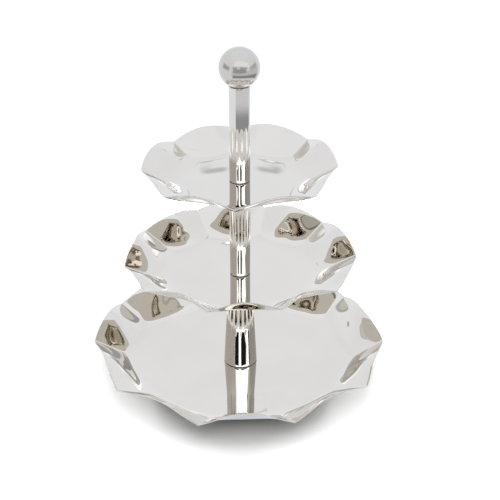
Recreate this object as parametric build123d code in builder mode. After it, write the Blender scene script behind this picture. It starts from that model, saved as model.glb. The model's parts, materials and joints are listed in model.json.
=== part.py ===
from build123d import *
from math import atan2, cos, pi, radians, sin, sqrt
import os

# Three-tier cake stand in polished nickel plate, with ruffled dishes on a screwed centre stem.
# Frame: +Z up, the origin on the stem axis at the surface that the foot pads rest on, and the
# front of the stand towards -Y. Azimuths are in degrees from the front, turning towards +X.

# Sheet, joints and feet
sheet = 1.2  # thickness of the dishes, the tubes and the ball
gasket_height = 0.6
pad_height = 2.0
pad_radius = 9.0
pad_circle_radius = 92.0
pad_count = 4

# Heights of the dish floors above the floor of the bottom dish
bottom_floor = pad_height + sheet
middle_floor = bottom_floor + 114.0
top_floor = bottom_floor + 227.0

# Stem tubes, outside radii from foot to top
lower_stem_radii = (18.65, 11.8)
lower_stem_swell = 0.35  # how far the lower stem bows out of a straight cone
middle_stem_radii = (11.1, 11.5)
upper_stem_radii = (11.1, 11.5)
ball_radius = 21.7
ball_centre = bottom_floor + 353.8
ball_flat = ball_centre - 18.6  # height of the flat under the ball
ball_mouth_radius = 8.0

# Threaded parts, drawn as plain cylinders at their nominal sizes
thread_radius = 4.0
finial_thread_radius = 3.0
thread_clearance = 0.05
plug_depth = 14.0
plug_clearance = 0.05
base_plug_gap = 1.3  # between the boss of the bottom dish and the plug above it
base_plug_depth = 8.0
stud_reach = 13.2  # length of stud above the joint face of the tube that is screwed on to it
finial_stud_reach = 11.0
finial_boss_length = 12.0
bolt_setback = 1.0  # how far the base bolt's end stays below its plug's top
thread_chamfer = 0.6
pad_chamfer = 0.4
hex_head_radius = 7.5
hex_head_height = 5.3
washer_radius = 8.0
washer_height = 1.6

# Gaskets stay a little inside the tubes, and clear of what passes through them
gasket_setback = 0.25
boss_gasket_gap = 0.5
finial_gasket_gap = 0.4
finial_gasket_overlap = 3.0  # how far the gasket under the ball reaches past the ball's mouth

# Boss pressed up in the middle of the bottom dish, so that the bolt head stays off the table
boss_height = 7.0
boss_foot_radius = 16.0
boss_top_radius = 12.6
bolt_hole_radius = 4.4
dish_hole_radius = 4.4
hole_cut_height = 4 * sheet  # tall enough to cut right through a dish's floor

# The rim of a dish runs up and down between pointed tips, low and far out, and round crests,
# high and nearer in. The wall leaves the floor at the fold radius and is about as long all the
# way round, so a higher rim lies nearer to the axis. The tip reach makes it longer at a tip.
bottom_rim = {
    "wall": 48.6,
    "tip_fold": 122.5,
    "crest_fold": 121.0,
    "tip_bend": 14.0,
    "crest_bend": 8.0,
    "tips": [-91.5, -53, -15, 20.5, 56.5, 88, 130, 166, 203, 239],
    "tip_heights": [22.1, 24.3, 22.8, 22.8, 24.3, 28.7, 22.8, 22.8, 22.8, 23.6],
    "tip_reach": [0.8, 0, 0, 0, 0, 0, -2.4, 0, 0, 1.8],
    "crest_heights": [34.4, 34.4, 35.0, 34.4, 35.0, 35.0, 35.0, 35.0, 35.0, 35.0],
    "crest_reach": [0, 0, 0, 0, 0, -3.4, 0, 0, 1.5, 3.2],
}
middle_rim = {
    "wall": 42.8,
    "tip_fold": 88.0,
    "crest_fold": 86.0,
    "tip_bend": 16.0,
    "crest_bend": 13.0,
    "tips": [-80, -51.6, -15.2, 21, 53.2, 91.5, 130.6, 167, 204, 240],
    "tip_heights": [19.4, 21.5, 22.0, 22.5, 20.7, 20.1, 20.7, 20.1, 20.1, 20.1],
    "tip_reach": [1.2, 1.6, 0, 0, 2.4, 2.0, 0, 0, 0, 0],
    "crest_heights": [27.0, 31.0, 31.0, 30.3, 26.5, 31.0, 31.0, 31.0, 29.4, 31.0],
    "crest_reach": [2.0, 0, 0, 0, 2.4, 2.0, 0, 0, -2.8, 0],
}
top_rim = {
    "wall": 32.7,
    "tip_fold": 76.0,
    "crest_fold": 70.0,
    "tip_bend": 14.0,
    "crest_bend": 12.0,
    "tips": [-84, -46, -2.5, 46.7, 90.4, 134, 182, 225],
    "tip_heights": [16.5, 16.2, 16.4, 16.0, 16.2, 16.0, 16.0, 12.6],
    "tip_reach": [0, 2.0, 0, 1.6, 0, 0, 0, -1.5],
    "crest_heights": [23.4, 25.2, 25.0, 24.8, 26.4, 25.0, 23.6, 23.4],
    "crest_reach": [1.6, 0, 0, 1.0, 1.2, 0, -1.0, 0],
}
lobe_stations = (0.0, 0.1, 0.28, 0.5, 0.72, 0.9, 1.0)  # where a lobe's sections stand, tip to tip
crest_sharpness = 1.05  # 1 gives a broad crest with sharp tips, 2 gives round tips as well
section_start = 3.0  # radius where each lobe's section begins, inside the dish's hole


def blend(low, high, share):
    """Value that goes from low to high as share goes from 0 to 1."""
    return low + (high - low) * share


def wall_shape(rim, lobe, station):
    """Fold radius, bend length, rim radius and rim height at a station of a lobe, 0 to 1."""
    following = (lobe + 1) % len(rim["tips"])
    ease = station * station * (3 - 2 * station)
    tip_height = blend(rim["tip_heights"][lobe], rim["tip_heights"][following], ease)
    crest = max(sin(pi * station), 0.0) ** crest_sharpness
    height = blend(tip_height, rim["crest_heights"][lobe], crest)
    fold = blend(rim["tip_fold"], rim["crest_fold"], crest)
    bend = blend(rim["tip_bend"], rim["crest_bend"], crest)
    reach = blend(rim["tip_reach"][lobe], rim["tip_reach"][following], ease) * (1 - crest)
    length = rim["wall"] + reach + rim["crest_reach"][lobe] * crest + rim["tip_fold"] - fold
    return fold, bend, fold + sqrt(length**2 - height**2), height


def lobe_angles(rim, lobe):
    """Azimuths of a lobe's first tip and of its last."""
    tips = rim["tips"]
    last = tips[lobe + 1] if lobe + 1 < len(tips) else tips[0] + 360
    return tips[lobe], last


def radial_plane(azimuth, height):
    """Upright plane through the axis: its x runs outwards at the azimuth, its y runs up."""
    outwards = (sin(radians(azimuth)), -cos(radians(azimuth)), 0)
    sideways = (-cos(radians(azimuth)), -sin(radians(azimuth)), 0)
    return Plane(origin=(0, 0, height), x_dir=outwards, z_dir=sideways)


def wall_section(plane, shape):
    """Section of the sheet from the hole to the rim: flat floor, round bend, straight wall."""
    fold, bend, rim_radius, rim_height = shape
    slope = atan2(rim_height, rim_radius - fold)
    down = (sheet * sin(slope), -sheet * cos(slope))
    bend_end = (fold + bend * cos(slope), bend * sin(slope))
    outer_end = (bend_end[0] + down[0], bend_end[1] + down[1])
    rim_top = (rim_radius, rim_height)
    rim_foot = (rim_radius + down[0], rim_height + down[1])
    with BuildSketch(plane) as section:
        with BuildLine():
            Line((section_start, 0), (fold - bend, 0))
            TangentArc((fold - bend, 0), bend_end, tangent=(1, 0))
            Line(bend_end, rim_top)
            Line(rim_top, rim_foot)
            Line(rim_foot, outer_end)
            TangentArc((fold - bend, -sheet), outer_end, tangent=(1, 0))
            Line((fold - bend, -sheet), (section_start, -sheet))
            Line((section_start, -sheet), (section_start, 0))
        make_face()
    return section.sketch


def add_lobes(rim, floor):
    """Loft every lobe of a dish, from tip to tip, into the part being built."""
    for lobe in range(len(rim["tips"])):
        first, last = lobe_angles(rim, lobe)
        sections = []
        for station in lobe_stations:
            plane = radial_plane(blend(first, last, station), floor)
            sections.append(wall_section(plane, wall_shape(rim, lobe, station)))
        loft(sections=sections)


def lower_stem_radius(height):
    """Outside radius of the lower stem at a height above its foot."""
    share = height / lower_stem_length
    straight = blend(lower_stem_radii[0], lower_stem_radii[1], share)
    return straight + lower_stem_swell * sin(pi * share)


def turned_profile(*points):
    """Closed outline of (radius, height) corners on the XZ plane, for a revolve about Z."""
    with BuildSketch(Plane.XZ) as profile:
        with BuildLine():
            Polyline(*points, close=True)
        make_face()
    return profile.sketch


# Heights of the joint faces
lower_stem_foot = bottom_floor + gasket_height
lower_stem_top = middle_floor - sheet - gasket_height
lower_stem_length = lower_stem_top - lower_stem_foot
middle_stem_foot = middle_floor + gasket_height
middle_stem_top = top_floor - sheet - gasket_height
upper_stem_foot = top_floor + gasket_height
upper_stem_top = ball_flat - gasket_height
finished = {}

# Dishes, each one a single pressed sheet
with BuildPart() as bottom_dish:
    add_lobes(bottom_rim, bottom_floor)
    with Locations((0, 0, bottom_floor)):
        Cylinder(boss_foot_radius, hole_cut_height, mode=Mode.SUBTRACT)
    boss_top = bottom_floor + boss_height
    boss_profile = turned_profile(
        (boss_foot_radius, bottom_floor - sheet),
        (boss_foot_radius, bottom_floor),
        (boss_top_radius, boss_top),
        (bolt_hole_radius, boss_top),
        (bolt_hole_radius, boss_top - sheet),
        (boss_top_radius - sheet, boss_top - sheet),
        (boss_foot_radius - sheet, bottom_floor - sheet),
    )
    revolve(profiles=boss_profile, axis=Axis.Z)
finished["bottom_dish"] = bottom_dish

with BuildPart() as middle_dish:
    add_lobes(middle_rim, middle_floor)
    with Locations((0, 0, middle_floor)):
        Cylinder(dish_hole_radius, hole_cut_height, mode=Mode.SUBTRACT)
finished["middle_dish"] = middle_dish

with BuildPart() as top_dish:
    add_lobes(top_rim, top_floor)
    with Locations((0, 0, top_floor)):
        Cylinder(dish_hole_radius, hole_cut_height, mode=Mode.SUBTRACT)
finished["top_dish"] = top_dish

# Stem tubes
with BuildPart() as lower_stem_tube:
    half = lower_stem_length / 2
    outer_foot = (lower_stem_radii[0], lower_stem_foot)
    outer_middle = (lower_stem_radius(half), lower_stem_foot + half)
    outer_top = (lower_stem_radii[1], lower_stem_top)
    inner_foot = (outer_foot[0] - sheet, outer_foot[1])
    inner_middle = (outer_middle[0] - sheet, outer_middle[1])
    inner_top = (outer_top[0] - sheet, outer_top[1])
    with BuildSketch(Plane.XZ):
        with BuildLine():
            ThreePointArc(outer_foot, outer_middle, outer_top)
            Line(outer_top, inner_top)
            ThreePointArc(inner_top, inner_middle, inner_foot)
            Line(inner_foot, outer_foot)
        make_face()
    revolve(axis=Axis.Z)
finished["lower_stem_tube"] = lower_stem_tube


def tube_profile(radii, foot, top):
    """Wall of a slightly tapered tube."""
    return turned_profile(
        (radii[0] - sheet, foot),
        (radii[0], foot),
        (radii[1], top),
        (radii[1] - sheet, top),
    )


with BuildPart() as middle_stem_tube:
    middle_wall = tube_profile(middle_stem_radii, middle_stem_foot, middle_stem_top)
    revolve(profiles=middle_wall, axis=Axis.Z)
finished["middle_stem_tube"] = middle_stem_tube

with BuildPart() as upper_stem_tube:
    upper_wall = tube_profile(upper_stem_radii, upper_stem_foot, upper_stem_top)
    revolve(profiles=upper_wall, axis=Axis.Z)
finished["upper_stem_tube"] = upper_stem_tube


def plug_profile(foot_radius, top_radius, low, high, hole_radius):
    """Half section of a turned plug that closes a tube's end, with a threaded hole."""
    return turned_profile(
        (hole_radius, low),
        (foot_radius - plug_clearance, low),
        (top_radius - plug_clearance, high),
        (hole_radius, high),
    )


def tube_bore(radii, foot, top, height):
    """Inside radius of a straight tube at a height."""
    return blend(radii[0], radii[1], (height - foot) / (top - foot)) - sheet


# Plugs pressed into the tube ends
base_plug_low = boss_top + base_plug_gap
base_plug_high = base_plug_low + base_plug_depth
with BuildPart() as lower_stem_bottom_plug:
    low_radius = lower_stem_radius(base_plug_low - lower_stem_foot) - sheet
    high_radius = lower_stem_radius(base_plug_high - lower_stem_foot) - sheet
    section = plug_profile(low_radius, high_radius, base_plug_low, base_plug_high, thread_radius)
    revolve(profiles=section, axis=Axis.Z)
finished["lower_stem_bottom_plug"] = lower_stem_bottom_plug

with BuildPart() as lower_stem_top_plug:
    low_radius = lower_stem_radius(lower_stem_length - plug_depth) - sheet
    high_radius = lower_stem_radii[1] - sheet
    low = lower_stem_top - plug_depth
    section = plug_profile(low_radius, high_radius, low, lower_stem_top, thread_radius)
    revolve(profiles=section, axis=Axis.Z)
finished["lower_stem_top_plug"] = lower_stem_top_plug

straight_plugs = {
    "middle_stem_bottom_plug": (middle_stem_radii, middle_stem_foot, middle_stem_top, False),
    "middle_stem_top_plug": (middle_stem_radii, middle_stem_foot, middle_stem_top, True),
    "upper_stem_bottom_plug": (upper_stem_radii, upper_stem_foot, upper_stem_top, False),
    "upper_stem_top_plug": (upper_stem_radii, upper_stem_foot, upper_stem_top, True),
}
for plug_name, (radii, foot, top, at_top) in straight_plugs.items():
    low = top - plug_depth if at_top else foot
    hole = finial_thread_radius if plug_name == "upper_stem_top_plug" else thread_radius
    with BuildPart() as plug:
        low_radius = tube_bore(radii, foot, top, low)
        high_radius = tube_bore(radii, foot, top, low + plug_depth)
        section = plug_profile(low_radius, high_radius, low, low + plug_depth, hole)
        revolve(profiles=section, axis=Axis.Z)
    finished[plug_name] = plug

# Threaded studs that join one stem section to the next
studs = {
    "middle_stud": (thread_radius, lower_stem_top - plug_depth, middle_stem_foot + stud_reach),
    "top_stud": (thread_radius, middle_stem_top - plug_depth, upper_stem_foot + stud_reach),
    "finial_stud": (finial_thread_radius, upper_stem_top - plug_depth, ball_flat + finial_stud_reach),
}
for stud_name, (radius, low, high) in studs.items():
    with BuildPart() as stud:
        with BuildSketch(Plane.XY.offset(low)):
            Circle(radius - thread_clearance)
        extrude(amount=high - low)
        chamfer(stud.edges().filter_by(GeomType.CIRCLE), length=thread_chamfer)
    finished[stud_name] = stud

# Bolt and washer under the bottom dish
bolt_seat = boss_top - sheet - washer_height
with BuildPart() as base_bolt:
    with BuildSketch(Plane.XY.offset(bolt_seat - hex_head_height)):
        RegularPolygon(hex_head_radius, 6)
    extrude(amount=hex_head_height)
    with BuildSketch(Plane.XY.offset(bolt_seat)):
        Circle(thread_radius - thread_clearance)
    extrude(amount=base_plug_high - bolt_setback - bolt_seat)
    chamfer(base_bolt.edges().sort_by(Axis.Z)[-1], length=thread_chamfer)
finished["base_bolt"] = base_bolt

with BuildPart() as base_washer:
    with BuildSketch(Plane.XY.offset(bolt_seat)):
        Circle(washer_radius)
        Circle(bolt_hole_radius, mode=Mode.SUBTRACT)
    extrude(amount=washer_height)
finished["base_washer"] = base_washer

# Thin gaskets on both sides of each dish, and under the ball
boss_gasket_hole = boss_foot_radius + boss_gasket_gap
finial_gasket_hole = finial_thread_radius + finial_gasket_gap
finial_gasket_radius = ball_mouth_radius + finial_gasket_overlap
gaskets = {
    "bottom_dish_gasket": (boss_gasket_hole, lower_stem_radii[0], bottom_floor),
    "middle_dish_lower_gasket": (dish_hole_radius, lower_stem_radii[1], lower_stem_top),
    "middle_dish_upper_gasket": (dish_hole_radius, middle_stem_radii[0], middle_floor),
    "top_dish_lower_gasket": (dish_hole_radius, middle_stem_radii[1], middle_stem_top),
    "top_dish_upper_gasket": (dish_hole_radius, upper_stem_radii[0], top_floor),
    "finial_gasket": (finial_gasket_hole, finial_gasket_radius, upper_stem_top),
}
for gasket_name, (inner, outer, low) in gaskets.items():
    with BuildPart() as gasket:
        with BuildSketch(Plane.XY.offset(low)):
            Circle(outer - gasket_setback)
            Circle(inner, mode=Mode.SUBTRACT)
        extrude(amount=gasket_height)
    finished[gasket_name] = gasket

# Hollow ball with a flat mouth, and the threaded boss inside it
with BuildPart() as ball_finial:
    flat_depth = ball_centre - ball_flat
    with Locations((0, 0, ball_centre)):
        Sphere(ball_radius)
        Sphere(ball_radius - sheet, mode=Mode.SUBTRACT)
    with BuildSketch(Plane.XY.offset(ball_centre - ball_radius)):
        Circle(ball_radius)
    extrude(amount=ball_radius - flat_depth, mode=Mode.SUBTRACT)
    with BuildSketch(Plane.XY.offset(ball_flat)):
        Circle(sqrt(ball_radius**2 - flat_depth**2))
        Circle(ball_mouth_radius, mode=Mode.SUBTRACT)
    extrude(amount=sheet)
finished["ball_finial"] = ball_finial

with BuildPart() as finial_boss:
    with BuildSketch(Plane.XY.offset(ball_flat)):
        Circle(ball_mouth_radius - plug_clearance)
        Circle(finial_thread_radius, mode=Mode.SUBTRACT)
    extrude(amount=finial_boss_length)
finished["finial_boss"] = finial_boss

# Foot pads under the bottom dish
with BuildPart() as foot_pads:
    with BuildSketch(Plane.XY):
        with PolarLocations(pad_circle_radius, pad_count, start_angle=45):
            Circle(pad_radius)
    extrude(amount=pad_height)
    chamfer(foot_pads.edges().group_by(Axis.Z)[0], length=pad_chamfer)
finished["foot_pads"] = foot_pads

os.makedirs("parts", exist_ok=True)
for name, piece in finished.items():
    piece.part.label = name
    export_step(piece.part, f"parts/{name}.step")
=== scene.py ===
"""Looks of the three-tier cake stand: ruffled dishes, tubes and ball in polished nickel plate."""
import json
from math import asin, atan2, cos, exp, pi, radians, sin, sqrt, tan

import bpy
from mathutils import Euler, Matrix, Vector


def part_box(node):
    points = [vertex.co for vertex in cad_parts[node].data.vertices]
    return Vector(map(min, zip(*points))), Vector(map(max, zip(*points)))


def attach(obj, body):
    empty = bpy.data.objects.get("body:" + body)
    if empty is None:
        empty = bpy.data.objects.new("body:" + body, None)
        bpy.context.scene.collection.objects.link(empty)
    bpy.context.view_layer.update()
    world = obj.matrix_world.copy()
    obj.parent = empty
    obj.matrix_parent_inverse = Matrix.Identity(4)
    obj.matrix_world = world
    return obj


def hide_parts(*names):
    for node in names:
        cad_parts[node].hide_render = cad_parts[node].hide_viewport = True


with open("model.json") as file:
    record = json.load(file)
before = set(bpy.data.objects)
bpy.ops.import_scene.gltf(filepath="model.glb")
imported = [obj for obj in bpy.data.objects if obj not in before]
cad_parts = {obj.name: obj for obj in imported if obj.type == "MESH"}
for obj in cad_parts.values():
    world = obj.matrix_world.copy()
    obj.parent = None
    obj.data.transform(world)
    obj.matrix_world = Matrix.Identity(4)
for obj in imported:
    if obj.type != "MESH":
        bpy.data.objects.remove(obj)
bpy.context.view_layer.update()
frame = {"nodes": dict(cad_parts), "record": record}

MM = 0.001  # the shapes below are in millimetres, and the scene is in metres

# Shapes that the CAD model states as well
SHEET = 1.2
HOLE_RADIUS = 4.4
BOSS_HEIGHT = 7.0
BOSS_TOP_RADIUS = 12.6
BOSS_FOOT_RADIUS = 16.0
LOWER_STEM_SWELL = 0.35
BALL_MOUTH_RADIUS = 8.0
CREST_SHARPNESS = 1.05
BOTTOM_RIM = {
    "flare": 2.6,
    "scoop": 1.2,
    "hollow": 1.3,
    "wall": 48.6,
    "tip_fold": 122.5,
    "crest_fold": 121.0,
    "tip_bend": 14.0,
    "crest_bend": 8.0,
    "tips": [-91.5, -53, -15, 20.5, 56.5, 88, 130, 166, 203, 239],
    "tip_heights": [22.1, 24.3, 22.8, 22.8, 24.3, 28.7, 22.8, 22.8, 22.8, 23.6],
    "tip_reach": [0.8, 0, 0, 0, 0, 0, -2.4, 0, 0, 1.8],
    "crest_heights": [34.4, 34.4, 35.0, 34.4, 35.0, 35.0, 35.0, 35.0, 35.0, 35.0],
    "crest_reach": [0, 0, 0, 0, 0, -3.4, 0, 0, 1.5, 3.2],
}
MIDDLE_RIM = {
    "flare": 3.0,
    "scoop": 1.1,
    "hollow": 0.5,
    "wall": 42.8,
    "tip_fold": 88.0,
    "crest_fold": 86.0,
    "tip_bend": 16.0,
    "crest_bend": 13.0,
    "tips": [-80, -51.6, -15.2, 21, 53.2, 91.5, 130.6, 167, 204, 240],
    "tip_heights": [19.4, 21.5, 22.0, 22.5, 20.7, 20.1, 20.7, 20.1, 20.1, 20.1],
    "tip_reach": [1.2, 1.6, 0, 0, 2.4, 2.0, 0, 0, 0, 0],
    "crest_heights": [27.0, 31.0, 31.0, 30.3, 26.5, 31.0, 31.0, 31.0, 29.4, 31.0],
    "crest_reach": [2.0, 0, 0, 0, 2.4, 2.0, 0, 0, -2.8, 0],
}
TOP_RIM = {
    "flare": 2.0,
    "scoop": 0.9,
    "hollow": 0.3,
    "wall": 32.7,
    "tip_fold": 76.0,
    "crest_fold": 70.0,
    "tip_bend": 14.0,
    "crest_bend": 12.0,
    "tips": [-84, -46, -2.5, 46.7, 90.4, 134, 182, 225],
    "tip_heights": [16.5, 16.2, 16.4, 16.0, 16.2, 16.0, 16.0, 12.6],
    "tip_reach": [0, 2.0, 0, 1.6, 0, 0, 0, -1.5],
    "crest_heights": [23.4, 25.2, 25.0, 24.8, 26.4, 25.0, 23.6, 23.4],
    "crest_reach": [1.6, 0, 0, 1.0, 1.2, 0, -1.0, 0],
}

# Hand-pressed hollows of the walls. A lobe's station and the share up its wall go from 0 to 1.
FLARE_PEAK = 6.75  # brings share**2 * (1 - share) to 1 at its highest
SCOOP_STATION = 0.5  # where the middle of a scoop lies across its lobe
SCOOP_STATION_SPREAD = 0.08
SCOOP_SHARE = 0.5  # and up its wall
SCOOP_SHARE_SPREAD = 0.06
SCOOP_DEPTH_SPREAD = 0.35
SCOOP_WIDTH = 0.17
SCOOP_LENGTH = 0.2
WOBBLE_FACTORS = (12.9898, 78.233, 37.719)
WOBBLE_SCALE = 43758.5453

# The floors are pressed a little hollow between these shares of the fold radius
HOLLOW_START = 0.62
HOLLOW_FULL = 0.98

# Fineness of the meshes
LOBE_COLUMNS = 64  # mesh columns from tip to tip
HOLE_RING = 0.8  # width of the mesh's first ring round a hole
ROUNDING_TOP = 0.5  # the boss's two bends are drawn as short bevels
ROUNDING_SIDE = 0.2
BOSS_RING = 1.2  # width of the mesh's first ring round the boss
FLOOR_STEPS = 36
BEND_STEPS = 16
WALL_STEPS = 20
EDGE_STEPS = 6  # steps round a rounded edge
LATHE_SEGMENTS = 192
TUBE_STEPS = 40
BALL_OUTER_STEPS = 72
BALL_INNER_STEPS = 48
BALL_POLE = 89.9  # degrees where the ball's outline ends, just short of the axis
CARD_STEPS = 24

# Nickel plate reflects about 6 tenths of the light, a little warm, and the studio's light is
# a little cool, so that one reflection looks neutral and a second one looks warm and darker.
NICKEL = (0.66, 0.61, 0.53)
STUDIO_TINT = (1.0, 1.07, 1.21)
STUDIO_LEVEL = 1.10
LAMP_TINT = (0.98, 1.10, 1.38)  # of the bright cards in later reflections
LAMP_LEVEL = 1.2  # a card with a higher level in later reflections counts as bright
CARD_CENTRE = (0, 0, 0.2)  # curved cards stand round this point

# The table top has a shade for the camera and a level for the metal. The second one is painted
# light:
# a glowing stand-in for the lit table, with a painted shadow under the stand. Each part of the
# second one has two values and the distances in metres at which it leaves the first for the second.
TABLE_SHADE = 0.776
TABLE_LEVEL = 1.08
# painted shadow under the stand on the glowing table that the metal sees
PAINTED_SHADOW_UNDER_STAND = (0.55, 1.0, 0.08, 0.20)
DARK_FROM = (0.0, 1.0, 0.38, 0.47)
DARK_DEPTH = (0.64, 0.22, 0.725, 0.80)
DARK_SIDE = (0.0, 1.0, -0.03, 0.05)
DARK_SIDE_NORMALS = ((0.755, -0.656, 0), (0.438, -0.899, 0))
MIRRORED_TABLE_DROP = 0.001

# Lamps of the table: name, centre, tilt and turn in degrees, half the width, level
TABLE_LAMPS = (
    ("overhead_lamp", (0.0, 0.1, 1.5), (0, 0), 0.4, 2.9),
    ("front_lamp", (0.0, -1.0, 1.2), (40, 0), 0.3, 4.3),
    ("left_lamp", (-1.25, 0.7, 0.42), (-74, 61), 0.35, 29.0),
    ("right_lamp", (1.25, 0.7, 0.42), (-74, -61), 0.35, 29.0),
)

# Camera
VIEW_TILT = 28.3
VIEW_DISTANCE = 1.452
VIEW_SIDESTEP = 0.0109
VIEW_HEIGHT = 0.142  # of the point in the middle of the view above the bottom dish's floor
VIEW_LENS = 95.26
VIEW_SENSOR = 36.0


# ---------------------------------------------------------------- meshes
def blend(low, high, share):
    """Value that goes from low to high as share goes from 0 to 1."""
    return low + (high - low) * share


def mesh_piece(name, points, faces, material, scale=MM):
    """New smooth-shaded object from points, in millimetres unless scale says otherwise."""
    mesh = bpy.data.meshes.new(name)
    mesh.from_pydata([Vector(p) * scale for p in points], [], faces)
    mesh.polygons.foreach_set("use_smooth", [True] * len(mesh.polygons))
    mesh.materials.append(material)
    mesh.validate()
    mesh.update()
    piece = bpy.data.objects.new(name, mesh)
    bpy.context.scene.collection.objects.link(piece)
    return piece


def closed_grid(columns, loop_length):
    """Faces of a ring of closed loops: each column is joined to the next, the last to the first."""
    faces = []
    for column in range(columns):
        following = (column + 1) % columns
        for step in range(loop_length):
            next_step = (step + 1) % loop_length
            faces.append(
                (
                    column * loop_length + step,
                    following * loop_length + step,
                    following * loop_length + next_step,
                    column * loop_length + next_step,
                )
            )
    return faces


def turned_piece(name, loop, material):
    """Solid of revolution about Z from a closed loop of (radius, height) points."""
    points = []
    for segment in range(LATHE_SEGMENTS):
        angle = 2 * pi * segment / LATHE_SEGMENTS
        points += [(r * cos(angle), r * sin(angle), z) for r, z in loop]
    return mesh_piece(name, points, closed_grid(LATHE_SEGMENTS, len(loop)), material)


def arc_points(centre, radius, start, end, steps):
    """Points on a circle in the (radius, height) plane, angles in radians."""
    angles = [blend(start, end, i / steps) for i in range(steps + 1)]
    return [(centre[0] + radius * cos(a), centre[1] + radius * sin(a)) for a in angles]


# ---------------------------------------------------------------- dishes
def wall_shape(rim, lobe, station):
    """Fold radius, bend length, rim radius and rim height at a station of a lobe, 0 to 1."""
    following = (lobe + 1) % len(rim["tips"])
    ease = station * station * (3 - 2 * station)
    tip_height = blend(rim["tip_heights"][lobe], rim["tip_heights"][following], ease)
    crest = max(sin(pi * station), 0.0) ** CREST_SHARPNESS
    height = blend(tip_height, rim["crest_heights"][lobe], crest)
    fold = blend(rim["tip_fold"], rim["crest_fold"], crest)
    bend = blend(rim["tip_bend"], rim["crest_bend"], crest)
    reach = blend(rim["tip_reach"][lobe], rim["tip_reach"][following], ease) * (1 - crest)
    length = rim["wall"] + reach + rim["crest_reach"][lobe] * crest + rim["tip_fold"] - fold
    return fold, bend, fold + sqrt(length**2 - height**2), height


def wobble(*keys):
    """Repeatable number from -1 to 1 for a set of whole numbers."""
    mixed = sum(key * factor for key, factor in zip(keys, WOBBLE_FACTORS))
    return 2 * ((sin(mixed) * WOBBLE_SCALE) % 1.0) - 1


def flare(rim, number, lobe, station, share):
    """Lift of the hand-pressed wall off a straight one, share 0 at the floor and 1 at the rim."""
    crest = sin(pi * station)
    lift = rim["flare"] * crest**2 * FLARE_PEAK * share**2 * (1 - share)
    middle = SCOOP_STATION + SCOOP_STATION_SPREAD * wobble(lobe, number, 1)
    depth = rim["scoop"] * (1 + SCOOP_DEPTH_SPREAD * wobble(lobe, number, 2))
    across = (station - middle) / SCOOP_WIDTH
    along = (share - SCOOP_SHARE - SCOOP_SHARE_SPREAD * wobble(lobe, number, 3)) / SCOOP_LENGTH
    return lift - depth * crest * exp(-(across**2) - along**2)


def dish_loop(rim, number, lobe, station, centre_top, centre_under):
    """Closed (radius, height) loop round a dish: top side out, rounded rim, underside in."""
    fold, bend, rim_radius, rim_height = wall_shape(rim, lobe, station)
    slope = atan2(rim_height, rim_radius - fold)
    turn_radius = bend / tan(slope / 2)
    wall = sqrt((rim_radius - fold) ** 2 + rim_height**2) - SHEET / 2

    def lifted(point, along):
        """Point moved square to the wall by the flare, along from the fold."""
        lift = flare(rim, number, lobe, station, (along + bend) / (wall + bend))
        return point[0] - lift * sin(slope), point[1] + lift * cos(slope)

    start = centre_top[-1][0]
    floor_radii = [blend(start, fold - bend, step / FLOOR_STEPS) for step in range(1, FLOOR_STEPS)]
    top = list(centre_top) + [(r, 0.0) for r in floor_radii]
    under = list(centre_under) + [(r, -SHEET) for r in floor_radii]
    for step in range(BEND_STEPS + 1):
        angle = slope * step / BEND_STEPS
        along = blend(-bend, bend, step / BEND_STEPS)
        outer = turn_radius + SHEET
        inside = (fold - bend + turn_radius * sin(angle), turn_radius * (1 - cos(angle)))
        outside = (fold - bend + outer * sin(angle), turn_radius - outer * cos(angle))
        top.append(lifted(inside, along))
        under.append(lifted(outside, along))
    for step in range(1, WALL_STEPS + 1):
        along = blend(bend, wall, step / WALL_STEPS)
        r, z = fold + along * cos(slope), along * sin(slope)
        top.append(lifted((r, z), along))
        under.append(lifted((r + SHEET * sin(slope), z - SHEET * cos(slope)), along))
    rim_centre = ((top[-1][0] + under[-1][0]) / 2, (top[-1][1] + under[-1][1]) / 2)
    edge = arc_points(rim_centre, SHEET / 2, slope + pi / 2, slope - pi / 2, EDGE_STEPS)[1:-1]
    return top + edge + under[::-1]


def dishing(rim, radius):
    """Lift of a floor that is pressed a little hollow, which dies out up the wall."""
    start, full = HOLLOW_START * rim["crest_fold"], HOLLOW_FULL * rim["crest_fold"]
    if radius <= start:
        return 0.0
    if radius <= full:
        share = (radius - start) / (full - start)
        return rim["hollow"] * share**2 * (1.5 - 0.5 * share)
    share = min((radius - full) / rim["wall"], 1.0)
    rise = 1.5 * rim["wall"] / (full - start)
    return rim["hollow"] * (1 - share) ** 2 * (1 + (2 + rise) * share)


def dish(name, node, number, rim, material, centre_top, centre_under):
    """Ruffled dish that stands for its CAD node."""
    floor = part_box(node)[0].z / MM + SHEET
    tips = rim["tips"]
    points = []
    loop_length = 0
    for lobe, first in enumerate(tips):
        last = tips[lobe + 1] if lobe + 1 < len(tips) else tips[0] + 360
        for column in range(LOBE_COLUMNS):
            station = column / LOBE_COLUMNS
            azimuth = radians(blend(first, last, station))
            loop = dish_loop(rim, number, lobe, station, centre_top, centre_under)
            loop_length = len(loop)
            for r, z in loop:
                height = z + floor + dishing(rim, r)
                points.append((r * sin(azimuth), -r * cos(azimuth), height))
    faces = closed_grid(len(tips) * LOBE_COLUMNS, loop_length)
    piece = mesh_piece(name, points, [face[::-1] for face in faces], material)
    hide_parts(node)
    return piece


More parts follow.
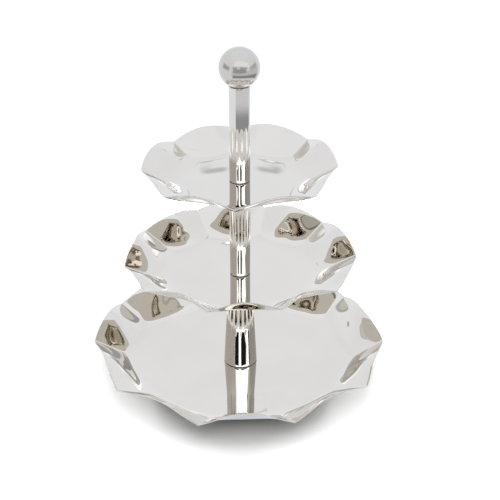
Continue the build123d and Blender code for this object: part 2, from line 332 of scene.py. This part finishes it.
# ---------------------------------------------------------------- stem and ball
def tube(name, node, radii, swell, material):
    """Tapered tube with rounded ends that stands for its CAD node."""
    low, high = (corner.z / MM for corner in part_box(node))
    length = high - low
    edge = SHEET / 2
    outer = []
    for step in range(TUBE_STEPS + 1):
        height = blend(edge, length - edge, step / TUBE_STEPS)
        share = height / length
        outer.append((blend(radii[0], radii[1], share) + swell * sin(pi * share), low + height))
    inner = [(r - SHEET, z) for r, z in outer]
    foot_centre = (outer[0][0] - edge, outer[0][1])
    top_centre = (outer[-1][0] - edge, outer[-1][1])
    foot = arc_points(foot_centre, edge, -pi, 0, EDGE_STEPS)[1:-1]
    top = arc_points(top_centre, edge, 0, pi, EDGE_STEPS)[1:-1]
    piece = turned_piece(name, foot + outer + top + inner[::-1], material)
    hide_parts(node)
    return piece


def ball(name, node, material):
    """Hollow ball with a flat mouth that stands for its CAD node."""
    low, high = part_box(node)
    radius = (high.x - low.x) / 2 / MM
    centre = high.z / MM - radius
    flat = low.z / MM
    mouth = asin((flat - centre) / radius)
    inner = radius - SHEET
    inner_mouth = asin((flat + SHEET - centre) / inner)
    pole = radians(BALL_POLE)
    outer_arc = arc_points((0, centre), radius, mouth, pole, BALL_OUTER_STEPS)
    inner_arc = arc_points((0, centre), inner, pole, inner_mouth, BALL_INNER_STEPS)
    loop = outer_arc + inner_arc + [(BALL_MOUTH_RADIUS, flat + SHEET), (BALL_MOUTH_RADIUS, flat)]
    piece = turned_piece(name, loop, material)
    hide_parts(node)
    return piece


# ---------------------------------------------------------------- materials
class Nodes:
    """Short way to build a material's nodes and links."""

    def __init__(self, name):
        self.material = bpy.data.materials.new(name)
        self.material.use_nodes = True
        self.tree = self.material.node_tree
        self.shader = self.tree.nodes["Principled BSDF"]

    def add(self, kind, **values):
        """New node; values are its properties, or its inputs by name with _ for a space."""
        node = self.tree.nodes.new(kind)
        for key, value in values.items():
            if hasattr(node, key):
                setattr(node, key, value)
            else:
                node.inputs[key.replace("_", " ")].default_value = value
        return node

    def link(self, source, target):
        self.tree.links.new(source, target)

    def noise(self, scale, detail=2.0, roughness=0.5, stretch=(1, 1, 1)):
        """Noise over the object's own space, scale in features per metre."""
        place = self.add("ShaderNodeTexCoord")
        mapping = self.add("ShaderNodeMapping")
        mapping.inputs["Scale"].default_value = stretch
        texture = self.add("ShaderNodeTexNoise", Scale=scale, Detail=detail, Roughness=roughness)
        self.link(place.outputs["Object"], mapping.inputs["Vector"])
        self.link(mapping.outputs["Vector"], texture.inputs["Vector"])
        return texture.outputs["Fac"]

    def spread(self, source, low, high, start=0.3, end=0.7):
        """Map a 0 to 1 value onto low to high between start and end."""
        node = self.add("ShaderNodeMapRange", interpolation_type="SMOOTHSTEP")
        node.inputs["From Min"].default_value = start
        node.inputs["From Max"].default_value = end
        node.inputs["To Min"].default_value = low
        node.inputs["To Max"].default_value = high
        self.link(source, node.inputs["Value"])
        return node.outputs["Result"]

    def product(self, values):
        """All the values multiplied together."""
        total = values[0]
        for value in values[1:]:
            node = self.add("ShaderNodeMath", operation="MULTIPLY")
            self.link(total, node.inputs[0])
            self.link(value, node.inputs[1])
            total = node.outputs["Value"]
        return total

    def mix(self, share, first, second):
        """Colour that goes from first to second."""
        node = self.add("ShaderNodeMix", data_type="RGBA")
        node.inputs["A"].default_value = (*first, 1)
        node.inputs["B"].default_value = (*second, 1)
        self.link(share, node.inputs["Factor"])
        return node.outputs["Result"]

    def bump(self, height, distance, strength=1.0, below=None):
        """Bump from a height, distance in metres."""
        node = self.add("ShaderNodeBump", Strength=strength, Distance=distance)
        self.link(height, node.inputs["Height"])
        if below is not None:
            self.link(below, node.inputs["Normal"])
        return node.outputs["Normal"]


def tinted(colour, factor):
    return tuple(c * factor for c in colour)


def nickel(name, level, waviness, haze_range=(0.015, 0.045), scratch_depth=0.0000002):
    """Polished nickel plate: faint clouding, polishing haze, hairline scratches, soft waviness."""
    m = Nodes(name)
    clouds = m.spread(m.noise(14, 3), 0, 1)
    colour = m.mix(clouds, tinted(NICKEL, level), tinted(NICKEL, level * 0.965))
    haze = m.spread(m.noise(38, 4, 0.6), *haze_range)
    waves = m.bump(m.noise(16, 1.5), waviness)
    scratches = m.bump(m.noise(900, 2, 0.5, (1, 0.06, 0.4)), scratch_depth, 1.0, waves)
    m.link(colour, m.shader.inputs["Base Color"])
    m.link(haze, m.shader.inputs["Roughness"])
    m.link(scratches, m.shader.inputs["Normal"])
    m.shader.inputs["Metallic"].default_value = 1.0
    return m.material


def plated_steel():
    """Turned and plated steel of the hidden plugs, studs and the base bolt."""
    m = Nodes("turned_steel")
    colour = m.mix(m.spread(m.noise(220, 4), 0, 1), (0.56, 0.55, 0.52), (0.42, 0.41, 0.39))
    rough = m.spread(m.noise(700, 3), 0.22, 0.42)
    rings = m.bump(m.noise(500, 2, 0.5, (0.1, 0.1, 8)), 0.00002)
    m.link(colour, m.shader.inputs["Base Color"])
    m.link(rough, m.shader.inputs["Roughness"])
    m.link(rings, m.shader.inputs["Normal"])
    m.shader.inputs["Metallic"].default_value = 1.0
    return m.material


def rubber(name, light, dark, low, high):
    """Matt moulded rubber with a fine grain and a little dust."""
    m = Nodes(name)
    colour = m.mix(m.spread(m.noise(300, 5, 0.6), 0, 1), light, dark)
    grain = m.bump(m.noise(2600, 3), 0.00004, 0.6)
    m.link(colour, m.shader.inputs["Base Color"])
    m.link(m.spread(m.noise(900, 3), low, high), m.shader.inputs["Roughness"])
    m.link(grain, m.shader.inputs["Normal"])
    return m.material


# ---------------------------------------------------------------- studio
def emitter(name, level, again):
    """Light of a card that fades towards its edges; again is its level in later reflections."""
    m = Nodes(name)
    m.tree.nodes.remove(m.shader)
    path = m.add("ShaderNodeLightPath")
    later = m.spread(path.outputs["Glossy Depth"], 0, 1, 1, 2)  # a first reflection has depth 1
    later_tint = LAMP_TINT if again > LAMP_LEVEL else STUDIO_TINT
    colour = m.mix(later, tinted(STUDIO_TINT, level), tinted(later_tint, again))
    light = m.add("ShaderNodeEmission")
    m.link(colour, light.inputs["Color"])
    clear = m.add("ShaderNodeBsdfTransparent")
    solid = m.add("ShaderNodeAttribute", attribute_name="solid")
    cover = m.add("ShaderNodeMixShader")
    m.link(solid.outputs["Fac"], cover.inputs["Fac"])
    m.link(clear.outputs["BSDF"], cover.inputs[1])
    m.link(light.outputs["Emission"], cover.inputs[2])
    m.link(cover.outputs["Shader"], m.tree.nodes["Material Output"].inputs["Surface"])
    return m.material


def sheet_of_light(name, place, level, again, softness, steps=CARD_STEPS):
    """Card with points from place(across, along), both 0 to 1; softness is the shares that fade."""
    points, solid = [], []
    for i in range(steps + 1):
        for j in range(steps + 1):
            across, along = i / steps, j / steps
            points.append(place(across, along))
            share = 1.0
            for position, fade in ((across, softness[0]), (along, softness[1])):
                if fade:
                    share *= min(min(position, 1 - position) / fade, 1.0)
            solid.append(share * share * (3 - 2 * share))
    faces = []
    for i in range(steps):
        for j in range(steps):
            corner = i * (steps + 1) + j
            faces.append((corner, corner + 1, corner + steps + 2, corner + steps + 1))
    piece = mesh_piece(name, points, faces, emitter(name, level, again), scale=1.0)
    attribute = piece.data.attributes.new("solid", "FLOAT", "POINT")
    attribute.data.foreach_set("value", solid)
    return piece


def for_reflections(piece):
    """Show a piece to the metal alone."""
    piece.visible_camera = False
    piece.visible_diffuse = False
    piece.visible_shadow = False


def direction(azimuth, elevation):
    """Unit vector: azimuth 0 is the front of the stand, towards -Y, and 90 is +X."""
    a, e = radians(azimuth), radians(elevation)
    return Vector((sin(a) * cos(e), -cos(a) * cos(e), sin(e)))


def card(name, azimuths, elevations, level, again, distance=1.7, softness=(0.15, 0.25)):
    """Curved card over a range of azimuths and elevations round the stand."""

    def place(across, along):
        azimuth = blend(azimuths[0], azimuths[1], across)
        elevation = blend(elevations[0], elevations[1], along)
        return Vector(CARD_CENTRE) + distance * direction(azimuth, elevation)

    for_reflections(sheet_of_light(name, place, level, again, softness))


def board(name, x_range, z_range, level, again, y=-1.3, rise=0.0, softness=(0.06, 0.1)):
    """Upright card across the front or the back, its right end higher than its left by rise."""

    def place(across, along):
        return Vector((blend(*x_range, across), y, blend(*z_range, along) + rise * across))

    for_reflections(sheet_of_light(name, place, level, again, softness))


def table(size):
    """Plain pale table top for the camera, which the metal doesn't see."""
    m = Nodes("table_white")
    albedo = tuple(TABLE_SHADE / t for t in STUDIO_TINT)
    shade = m.mix(m.spread(m.noise(3, 2), 0, 1), albedo, tinted(albedo, 0.99))
    m.link(shade, m.shader.inputs["Base Color"])
    m.shader.inputs["Roughness"].default_value = 0.9
    m.shader.inputs["Specular IOR Level"].default_value = 0.1
    corners = [(-size, -size, 0), (size, -size, 0), (size, size, 0), (-size, size, 0)]
    piece = mesh_piece("table", corners, [(0, 1, 2, 3)], m.material, scale=1.0)
    piece.visible_glossy = False


def mirrored_table(size):
    """Glowing stand-in for the table top as the metal sees it, painted light: a painted shadow
    under the stand, and darker in a part in front of it.
    """
    m = Nodes("table_for_reflections")
    m.tree.nodes.remove(m.shader)
    place = m.add("ShaderNodeTexCoord")
    length = m.add("ShaderNodeVectorMath", operation="LENGTH")
    m.link(place.outputs["Object"], length.inputs[0])
    distance = length.outputs["Value"]
    # painted shadow: the glowing stand-in goes darker close under the stand
    under = m.spread(distance, *PAINTED_SHADOW_UNDER_STAND)
    shares = [m.spread(distance, *DARK_FROM), m.spread(distance, *DARK_DEPTH)]
    for normal in DARK_SIDE_NORMALS:
        side = m.add("ShaderNodeVectorMath", operation="DOT_PRODUCT")
        m.link(place.outputs["Object"], side.inputs[0])
        side.inputs[1].default_value = normal
        shares.append(m.spread(side.outputs["Value"], *DARK_SIDE))
    dark = m.product(shares)
    level = m.add("ShaderNodeMath", operation="MULTIPLY_ADD")
    m.link(dark, level.inputs[0])
    level.inputs[1].default_value = -TABLE_LEVEL
    level.inputs[2].default_value = TABLE_LEVEL
    path = m.add("ShaderNodeLightPath")
    for_metal = m.spread(path.outputs["Diffuse Depth"], 1.0, 0.0, 0, 1)
    final = m.product([level.outputs["Value"], under, for_metal])
    light = m.add("ShaderNodeEmission")
    light.inputs["Color"].default_value = (*STUDIO_TINT, 1)
    m.link(final, light.inputs["Strength"])
    out = m.tree.nodes["Material Output"]
    m.link(light.outputs["Emission"], out.inputs["Surface"])
    corners = [(-size, -size, 0), (size, -size, 0), (size, size, 0), (-size, size, 0)]
    piece = mesh_piece("table_for_reflections", corners, [(0, 1, 2, 3)], m.material, scale=1.0)
    piece.location.z = -MIRRORED_TABLE_DROP
    for_reflections(piece)


def table_lamps():
    """Softboxes above, in front and at both sides, which light the table round the shadow."""
    for name, centre, turn, size, level in TABLE_LAMPS:

        def place(across, along):
            return Vector((blend(-size, size, across), blend(-size, size, along), 0))

        piece = sheet_of_light(name, place, level, level, (0, 0), steps=1)
        piece.location = centre
        piece.rotation_euler = Euler((radians(turn[0]), 0, radians(turn[1])))
        piece.visible_camera = False
        piece.visible_glossy = False


def studio():
    """White tent round the stand, with the dark gaps and lamps that its metal reflects.

    Each card has its ranges, its level in a first reflection and its level in later ones.
    """
    world = bpy.data.worlds.new("white_tent")
    bpy.context.scene.world = world
    world.use_nodes = True
    background = world.node_tree.nodes["Background"]
    background.inputs["Color"].default_value = (*STUDIO_TINT, 1)
    background.inputs["Strength"].default_value = STUDIO_LEVEL
    table(size=0.45)
    mirrored_table(size=6.0)
    table_lamps()
    card("back_ceiling", (110, 250), (52, 78), 1.16, 2.4, distance=2.5, softness=(0.25, 0.25))
    card("ceiling", (-180, 180), (50, 90), 1.16, 1.45, distance=2.6, softness=(0, 0.15))
    board("front_softbox", (-1.05, 3.2), (0.86, 2.2), 1.3, 3.0, y=-1.35)
    board("low_front", (-0.95, 1.1), (0.0, 0.72), 0.5, 0.5, y=-1.34)
    board("gap_left", (-1.08, -0.24), (0.57, 0.93), 0.6, 0.02)
    board("gap_right", (0.08, 1.42), (0.57, 0.87), 0.6, 0.02)
    board("gap_middle", (0.08, 0.48), (0.70, 0.92), 0.6, 0.02, y=-1.29)
    board("lamp_middle", (-0.30, 0.10), (0.57, 0.96), 1.0, 3.0, y=-1.32)
    card("gap_far_right", (48, 72), (21, 29), 1.0, 0.1, distance=3.0)
    card("side_left", (-160, -40), (14, 38), 1.08, 0.80, distance=1.9, softness=(0.04, 0.2))
    card("side_right", (70, 160), (14, 38), 1.08, 0.62, distance=1.9, softness=(0.04, 0.2))
    card("low_left", (-105, -50), (-2, 22), 0.55, 0.75, distance=1.8)
    card("low_right", (55, 115), (-2, 22), 0.68, 0.70, distance=1.8)
    # painted reflection: two small dim sheets behind the stem, seen only by the metal, paint darker
    # streaks into the top dish's floor
    wing = {"level": 0.7, "again": 1.0, "y": 0.25, "softness": (0.3, 0.4)}
    board("painted_streak_left", (-0.056, -0.012), (0.333, 0.343), rise=-0.006, **wing)
    board("painted_streak_right", (0.014, 0.055), (0.326, 0.336), rise=0.008, **wing)


def camera():
    """Camera at the height, distance and tilt from which the stand is seen."""
    tilt = radians(VIEW_TILT)
    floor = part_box("bottom_dish")[0].z + SHEET * MM
    target = Vector((VIEW_SIDESTEP, 0.0, floor + VIEW_HEIGHT))
    data = bpy.data.cameras.new("view")
    data.sensor_width = VIEW_SENSOR
    data.lens = VIEW_LENS
    piece = bpy.data.objects.new("view", data)
    bpy.context.scene.collection.objects.link(piece)
    back, up = VIEW_DISTANCE * cos(tilt), VIEW_DISTANCE * sin(tilt)
    piece.location = target + Vector((0, -back, up))
    piece.rotation_euler = Euler((pi / 2 - tilt, 0, 0))
    bpy.context.scene.camera = piece
    bpy.context.scene.view_settings.view_transform = "Standard"


# ---------------------------------------------------------------- the stand
def hole_ring(height):
    """Sheet round a plain hole: the hole's edge and a first ring close to it."""
    return [(HOLE_RADIUS, height), (HOLE_RADIUS + HOLE_RING, height)]


def boss_ring(lift):
    """Sheet over or under the pressed boss, from the bolt hole to the flat floor."""
    top = BOSS_HEIGHT - lift
    top_radius, foot_radius = BOSS_TOP_RADIUS - lift, BOSS_FOOT_RADIUS - lift
    return [
        (HOLE_RADIUS, top),
        (HOLE_RADIUS + HOLE_RING, top),
        (top_radius - ROUNDING_TOP, top),
        (top_radius + ROUNDING_SIDE, top - ROUNDING_TOP),
        (foot_radius - ROUNDING_SIDE, ROUNDING_TOP - lift),
        (foot_radius + ROUNDING_TOP, -lift),
        (foot_radius + BOSS_RING, -lift),
    ]


def build_stand():
    """Dishes, tubes and ball, each riding with its CAD body."""
    dish_nickel = nickel("dish_nickel", 1.0, 0.00012)
    tube_nickel = nickel("tube_nickel", 1.0, 0.0001)
    # painted shade: the ball is the same nickel plate at a lower level, so that it looks darker
    # than the other pieces
    ball_nickel_painted_shade = nickel("ball_nickel_painted_shade", 0.84, 0.0002, (0.10, 0.17), 0.000001)
    dishes = [
        ("bottom_dish", "base", BOTTOM_RIM, boss_ring(0), boss_ring(SHEET)),
        ("middle_dish", "middle_tier", MIDDLE_RIM, hole_ring(0), hole_ring(-SHEET)),
        ("top_dish", "top_tier", TOP_RIM, hole_ring(0), hole_ring(-SHEET)),
    ]
    tubes = [
        ("lower_stem_tube", "base", (18.65, 11.8), LOWER_STEM_SWELL),
        ("middle_stem_tube", "middle_stem", (11.1, 11.5), 0.0),
        ("upper_stem_tube", "handle", (11.1, 11.5), 0.0),
    ]
    pieces = []
    for number, (node, body, rim, centre_top, centre_under) in enumerate(dishes):
        piece = dish(f"ruffled_{node}", node, number, rim, dish_nickel, centre_top, centre_under)
        pieces.append((piece, body))
    for node, body, radii, swell in tubes:
        pieces.append((tube(f"polished_{node}", node, radii, swell, tube_nickel), body))
    pieces.append((ball("polished_ball", "ball_finial", ball_nickel_painted_shade), "handle"))
    for piece, body in pieces:
        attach(piece, body)


def finish_hidden_nodes():
    """Materials of the CAD nodes that stay as they are."""
    slots = {part["node"]: part["material_slot"] for part in frame["record"]["subparts"]}
    finishes = {
        "polished_nickel": nickel("hidden_nickel", 1.0, 0.0001),
        "plated_steel": plated_steel(),
        "gasket_rubber": rubber("gasket_grey", (0.09, 0.085, 0.08), (0.05, 0.048, 0.045), 0.5, 0.7),
        "foot_rubber": rubber("pad_rubber", (0.13, 0.13, 0.13), (0.07, 0.07, 0.07), 0.6, 0.85),
    }
    for node, piece in frame["nodes"].items():
        piece.data.materials.clear()
        piece.data.materials.append(finishes[slots[node]])


studio()
camera()
build_stand()
finish_hidden_nodes()
